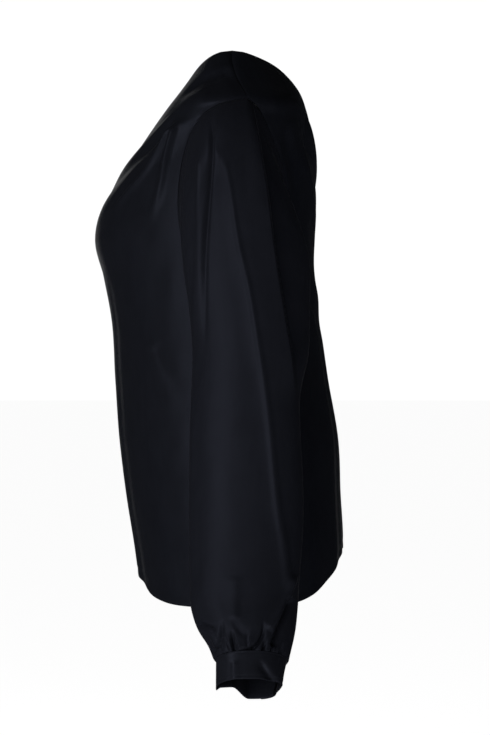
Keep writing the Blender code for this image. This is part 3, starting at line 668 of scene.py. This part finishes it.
def sleeve(around, cap_rows, arm_rows):
    """Sleeve grid: a cubic from the armhole ring to the first section, then sections, folds and gathers.

    Columns crowd on the outer side by angle = turn - 0.6 sin turn, and rows toward the cuff.
    """
    turn = np.linspace(-np.pi, np.pi, around + 1)[None, :]
    angle = turn - OUTER_CROWDING * np.sin(turn)
    start, top = armhole_ring(angle), SLEEVE["height"][0]
    first, below = (sleeve_section(angle, np.full_like(angle, h)) for h in (top, top - 0.02))
    over = ((1 + np.cos(angle)) / 2)[..., None]
    away = np.array(LEAVES_UNDERARM) * (1 - over) + np.array(LEAVES_SHOULDER) * over
    away = away / np.linalg.norm(away, axis=-1, keepdims=True)
    chord = np.linalg.norm(first - start, axis=-1, keepdims=True)
    t = np.linspace(0, 1, cap_rows + 1)[:, None, None]
    cap = (start * (1 + 2 * t) * (1 - t) ** 2 + first * t * t * (3 - 2 * t)
           + chord * CAP_FULLNESS * (away * t * (1 - t) ** 2 - (below - first) / 0.02 * t * t * (1 - t)))
    share = np.linspace(0, 1, arm_rows + 1)[1:, None]
    heights = top + (SLEEVE["height"][-1] - top) * (share + CUFF_CROWDING * share * (1 - share))
    grid = np.concatenate([cap, sleeve_section(0 * heights + angle, heights + 0 * angle)])
    out = normals(grid, True) * -1
    head, foot, _, _ = from_edges(grid)
    start_fade = np.clip(head / 0.008, 0, 1)
    outer = np.clip(np.cos(angle) * 3, 0, 1) * start_fade
    rise = outer * side_folds(grid, SLEEVE_FOLDS, 0.12, 0.10)
    rise += outer * side_folds(grid, SIDE_GATHERS, 0.5, 0.02)
    shown_one_by_one = np.clip(np.cos(angle) * 2.5 - 0.4, 0, 1)
    rise += GATHER_HEIGHT * gathers(angle, foot) * (1 - 0.6 * shown_one_by_one)
    z = grid[..., 2]
    flat = np.stack([SLEEVE_SPREAD * angle + 0 * z, -head], -1)
    slack = ripples(SLEEVE_SPREAD * np.sin(angle) + 0 * z, z, 37, 0.050, 0.35)
    slack = slack * start_fade * np.clip(foot / 0.03, 0, 1)
    rise += SLEEVE_SLACK * slack * (1 - 0.55 * np.clip(np.cos(angle) * 2, 0, 1))
    rise -= HEAD_PINCH * np.exp(-((head / 0.0025) ** 2))
    edge = curve(np.insert(np.array(SLEEVE_EDGE), 0, 0, axis=1), 80)
    under = tucked_under(grid, angle, edge, EDGE_STEP, EDGE_SLOPE) * (angle > 0) * np.clip(head / 0.03, 0, 1)
    return grid + out * rise[..., None] - under[..., None] * (1, 0, 0), flat


# The sleeve's base colour is set lighter than the front's: painted light on the same satin, where the sleeve
# faces the lights.
sleeve_satin_painted_light = satin("sleeve satin painted light", (0.0064, 0.0069, 0.0095), 0.42)
grid, flat = sleeve(240, 40, 148)
grid = inset(grid, SEAM_GAP, SEAM_GAP, 0, 0)
grid, flat = finished(grid, flat, -1, SEAM, SEAM, ring=True)
sleeve_piece = cloth("sleeve_cloth", grid, flat, -1, CLOTH, sleeve_satin_painted_light, ring=True)
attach(sleeve_piece, "root")
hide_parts("sleeve")

# ---- Cuff ------------------------------------------------------------------------------------------------
# The cuff is a band of satin folded double along its lower edge. Its ends lap at the back of the wrist, and
# the sleeve's gathers are sewn into its open edge.

CUFF_HEIGHT, CUFF_HALF_WIDTH, CUFF_HALF_DEPTH, CUFF_LEAN = 0.0290, 0.0357, 0.0325, 25.0
CUFF_WALL, LAP_GAP, CUFF_OVERLAP, CUFF_LAP_START, CUFF_LAP_RISE = 0.0016, 0.0004, 0.022, 128.0, 0.5
PRESSED_AT_RIM, BACK_DRAWN_IN = 1.15, 0.28
CUFF_CLOTH, CUFF_SPREAD = 0.0004, 0.034
STITCH_LINES, STITCH_DENT, STITCH_WIDTH = (0.0022, 0.0262), 0.00025, 0.0006

# The rim folds the cloth back up inside in steps of 2.5 mm, and the two ends are turned in and closed.
DOUBLED = [(0.0004, 0.0001), (0.0006, 0.0005), (0.0004, 0.0010)]
DOUBLED += [(-0.0005 - 0.0025 * step, 0.0011) for step in range(12)]
END = [(0.0003, 0.0002), (0.0004, 0.0006), (0.0002, 0.0010)]

# A slanting crease from the seam to the back of the rim, a dent at the front and a low upright ridge.
CUFF_CREASES = [
    ([(0.0115, -0.288), (0.02, -0.299), (0.027, -0.308), (0.0345, -0.318)],
     -0.0026, -0.0036, 0.005, 0.0028, 1),
    ([(-0.027, -0.2925), (-0.029, -0.302), (-0.028, -0.312)], -0.0004, -0.0004, 0.003, 0.004, 1.2),
    ([(-0.0105, -0.289), (-0.0105, -0.3), (-0.01, -0.311)], 0.0011, 0.001, 0.003, 0.004, 1.2),
]


def cuff(around, rows):
    """Cuff grid: the wrist's ring carried down its lean, and lifted by one wall where the second end laps.

    Toward the rim it is pressed flatter on its inner side and drawn in at the back. Two rows of stitches
    dent it by exp(-(distance / width) squared).
    """
    girth = np.pi * (CUFF_HALF_WIDTH + CUFF_HALF_DEPTH)
    travel = np.linspace(0, 2 * np.pi * (1 + CUFF_OVERLAP / girth), around + 1)[None, :]
    angle = travel + np.radians(CUFF_LAP_START)
    lifted = np.clip((travel - 2 * np.pi) / CUFF_LAP_RISE + 1, 0, 1) * (CUFF_WALL + LAP_GAP)
    share = np.linspace(0, 1, rows + 1)[:, None]
    press = (PRESSED_AT_SEAM + (PRESSED_AT_RIM - PRESSED_AT_SEAM) * share) * pressed(angle)
    drawn = BACK_DRAWN_IN * share * np.sin(angle).clip(0, 1) * np.clip(0.65 - np.cos(angle), 0.3, 1)
    down = share * CUFF_HEIGHT
    lean = np.radians(CUFF_LEAN)
    x = (CUFF_HALF_DEPTH + lifted) * power(np.cos(angle), SLEEVE_ROUNDNESS) * (1 - press)
    y = (CUFF_HALF_WIDTH + lifted) * power(np.sin(angle), SLEEVE_ROUNDNESS) * (1 - drawn)
    across = SLEEVE["across"][-1] + x * np.cos(lean) + down * np.sin(lean)
    height = SLEEVE["height"][-1] + x * np.sin(lean) - down * np.cos(lean)
    grid = np.stack([across, SLEEVE["middle"][-1] + y, height], -1)
    outer = np.clip(np.cos(angle) * 3, 0, 1)
    rise = outer * side_folds(grid, CUFF_CREASES, 0.3, 0.02)
    rise -= STITCH_DENT * sum(np.exp(-(((down - line) / STITCH_WIDTH) ** 2)) for line in STITCH_LINES)
    grid = grid - normals(grid) * rise[..., None]
    return grid, np.stack([CUFF_SPREAD * travel + 0 * down, -down + 0 * y], -1)


# The cuff's base colour is set the lightest of all the pieces: painted light on the same satin, at the wrist
# where light comes up from the floor.
cuff_satin_painted_light = satin("cuff satin painted light", (0.0074, 0.0080, 0.0108), 0.36)
bare_cuff, flat = cuff(300, 36)
grid = inset(bare_cuff.copy(), SEAM_GAP, 0, 0, 0)
grid, flat = finished(grid, flat, -1, SEAM, DOUBLED, END, END)
cuff_piece = cloth("cuff_cloth", grid, flat, -1, CUFF_CLOTH, cuff_satin_painted_light)
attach(cuff_piece, "root")
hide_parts("cuff")

# ---- Cuff button -----------------------------------------------------------------------------------------
# A black four-hole shirt button of polyester, turned with a raised rim. It is sewn on with crossed thread and
# goes through a bound buttonhole in the upper end of the cuff.

BUTTON_THICKNESS, HOLE_RADIUS, HOLE_PLACE, HOLE_DEPTH = 0.0022, 0.00055, 0.00115, 0.0015
BUTTON_ROW, BUTTON_COLUMN = 0.5, 69 / 72
PROFILE_STEPS, TURN_STEPS, THREAD_SIDES = 90, 97, 11
THREAD_RADIUS, CORD_RADIUS, BUTTONHOLE_HALF = 0.00022, 0.00032, (0.0050, 0.0011)

# Half profile from the middle of the face to the middle of the back, as (radius, height).
BUTTON_PROFILE = np.array([
    (0.0000, 0.00070), (0.0020, 0.00070), (0.0029, 0.00078), (0.0034, 0.00108), (0.0039, 0.00110),
    (0.0044, 0.00085), (0.0045, 0.00030), (0.0044, -0.00050), (0.0038, -0.00105), (0.0020, -0.00110),
    (0.0000, -0.00110),
])


def disc(across, along, outward, centre):
    """A turned disc: the smooth profile carried round, its face sunk into four round holes.

    Each hole sinks the face by 1.5 mm times a smooth step of the distance to the hole's middle.
    """
    profile = curve(BUTTON_PROFILE, PROFILE_STEPS)
    round_way = np.linspace(0, 2 * np.pi, TURN_STEPS)[None, :]
    radius, rise = profile[:, :1] + 0 * round_way, profile[:, 1:] + 0 * round_way
    x, y = radius * np.cos(round_way), radius * np.sin(round_way)
    face = profile[:, 1:] > 0.0006
    nearest = np.hypot(np.abs(x) - HOLE_PLACE, np.abs(y) - HOLE_PLACE)
    sunk = np.clip((HOLE_RADIUS - nearest) / 0.00016 + 0.5, 0, 1)
    rise = rise - HOLE_DEPTH * face * sunk * sunk * (3 - 2 * sunk)
    return centre + x[..., None] * across + y[..., None] * along + rise[..., None] * outward


def tube(name, path, outward, radius, material):
    """A thread along a closed path: a circle of ten sides carried along square to it, its radius fixed."""
    ahead = np.roll(path, -1, axis=0) - np.roll(path, 1, axis=0)
    ahead = ahead / np.linalg.norm(ahead, axis=-1, keepdims=True)
    side = np.cross(ahead, outward)
    side = side / np.linalg.norm(side, axis=-1, keepdims=True)
    up = np.cross(side, ahead)
    turn = np.linspace(0, 2 * np.pi, THREAD_SIDES)[None, :, None]
    grid = path[:, None] + radius * (np.cos(turn) * side[:, None] + np.sin(turn) * up[:, None])
    grid = np.concatenate([grid, grid[:1]])
    flat = np.stack(np.meshgrid(np.arange(THREAD_SIDES) * 0.0004, np.arange(len(grid)) * 0.0004), -1)
    return cloth(name, grid, flat, 1, 0, material, ring=True)


row, column = round(BUTTON_ROW * (bare_cuff.shape[0] - 1)), round(BUTTON_COLUMN * (bare_cuff.shape[1] - 1))
seat_out = -normals(bare_cuff)[row, column]
seat_along = bare_cuff[row, column + 3] - bare_cuff[row, column - 3]
seat_along = seat_along / np.linalg.norm(seat_along)
seat_down = np.cross(seat_out, seat_along)
seat = bare_cuff[row, column] + seat_out * (LAP_GAP + BUTTON_THICKNESS / 2)

button_black = bpy.data.materials.new("button black")
button_black.use_nodes = True
tree = button_black.node_tree
shader = tree.nodes["Principled BSDF"]
start = Value(tree, None)
where = Value(tree, start.node("ShaderNodeTexCoord").outputs["Object"])
cloudy = Value(tree, start.node("ShaderNodeTexNoise", Vector=where, Scale=900, Detail=3).outputs[0])
tint = start.node("ShaderNodeMix", {"data_type": "RGBA"}, i0=cloudy)
tint.inputs[6].default_value = (0.0050, 0.0050, 0.0056, 1)
tint.inputs[7].default_value = (0.0120, 0.0120, 0.0130, 1)
tree.links.new(tint.outputs[2], shader.inputs["Base Color"])
tree.links.new((cloudy * 0.12 + 0.20).socket, shader.inputs["Roughness"])

grid = disc(seat_along, seat_down, seat_out, seat)
flat = np.stack(np.meshgrid(np.arange(TURN_STEPS) * 0.0003, np.arange(PROFILE_STEPS) * 0.0003), -1)
button = cloth("cuff_button_turned", grid, flat, -1, 0, button_black, ring=True)
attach(button, "root")
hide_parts("cuff_button")

# Two crossed stitches of thread through the holes, and the buttonhole's corded edge under the button.
thread = satin("thread", (0.0070, 0.0074, 0.0090), 0.6)
turn = np.linspace(0, 2 * np.pi, 48, endpoint=False)[:, None]
for sign in (1, -1):
    run = np.cos(turn) * HOLE_PLACE
    arch = 0.00072 + 0.00042 * np.sin(turn)
    path = seat + run * (seat_along + sign * seat_down) + arch * seat_out
    stitch = tube("stitch", path, seat_out, THREAD_RADIUS, thread)
    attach(stitch, "root")
turn = np.linspace(0, 2 * np.pi, 120, endpoint=False)[:, None]
half_length, half_width = BUTTONHOLE_HALF
ends = np.sign(np.cos(turn)) * half_length * np.abs(np.cos(turn)) ** 0.5
edge = ends * seat_along + half_width * np.sin(turn) * seat_down
bumps = 0.00006 * np.cos(40 * turn) * seat_out
path = bare_cuff[row, column] + edge + bumps + 0.00005 * seat_out
corded = tube("buttonhole", path, seat_out, CORD_RADIUS, thread)
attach(corded, "root")

# ---- Studio ----------------------------------------------------------------------------------------------
# A pale floor at the wearer's feet, white surroundings, a large soft light beside the camera and a weaker one
# on each other side, so that the black cloth shows its folds all round.

FLOOR_HEIGHT, FLOOR_RADIUS = -1.42, 90

floor_mesh = bpy.data.meshes.new("floor")
round_floor = bmesh.new()
bmesh.ops.create_circle(round_floor, cap_ends=True, segments=96, radius=FLOOR_RADIUS)
round_floor.to_mesh(floor_mesh)
round_floor.free()
floor = bpy.data.objects.new("floor", floor_mesh)
floor.location = (0, 0, FLOOR_HEIGHT)
bpy.context.scene.collection.objects.link(floor)
pale = bpy.data.materials.new("pale floor")
pale.use_nodes = True
surface = pale.node_tree.nodes["Principled BSDF"]
surface.inputs["Base Color"].default_value = (0.85, 0.85, 0.85, 1)
surface.inputs["Roughness"].default_value = 1.0
surface.inputs["Specular IOR Level"].default_value = 0.0
surface.inputs["Emission Color"].default_value = (1, 1, 1, 1)
surface.inputs["Emission Strength"].default_value = 0.9
floor_mesh.materials.append(pale)

# The surroundings are seen white and light the cloth only dimly.
world = bpy.data.worlds.new("studio")
bpy.context.scene.world = world
world.use_nodes = True
sky = world.node_tree
seen = Value(sky, Value(sky, None).node("ShaderNodeLightPath").outputs["Is Camera Ray"])
white = sky.nodes["Background"]
white.inputs["Color"].default_value = (1, 1, 1, 1)
sky.links.new((seen * 0.94 + 0.08).socket, white.inputs["Strength"])


def soft_light(name, place, aim, size, watts):
    """A square area light at place, turned to aim."""
    light = bpy.data.lights.new(name, "AREA")
    light.energy = watts
    light.size = size
    lamp = bpy.data.objects.new(name, light)
    lamp.location = place
    lamp.rotation_euler = (Vector(aim) - Vector(place)).to_track_quat("-Z", "Y").to_euler()
    bpy.context.scene.collection.objects.link(lamp)


soft_light("beside the camera", (3.0, -1.6, -0.4), (0, 0, -0.3), 2.4, 98)
soft_light("high front", (1.0, -2.8, 1.9), (0, 0, -0.25), 0.8, 60)
soft_light("back", (-2.2, 2.8, 0.4), (0, 0, -0.25), 1.6, 22)
soft_light("far side", (-3.2, -1.2, 0.4), (0, 0, -0.25), 1.6, 26)

CAMERA_AWAY, FOCAL_PIXELS, PHOTO_HEIGHT = 3.0, 2727, 735
lens = bpy.data.cameras.new("camera")
lens.sensor_width = 36
lens.lens = FOCAL_PIXELS / PHOTO_HEIGHT * lens.sensor_width
camera = bpy.data.objects.new("camera", lens)
camera.location = Vector((CAMERA_AWAY, 0, 0)) - Vector(HOLD)
camera.rotation_euler = Vector((-1, 0, 0)).to_track_quat("-Z", "Y").to_euler()
bpy.context.scene.collection.objects.link(camera)
bpy.context.scene.camera = camera
bpy.context.scene.view_settings.view_transform = "Standard"
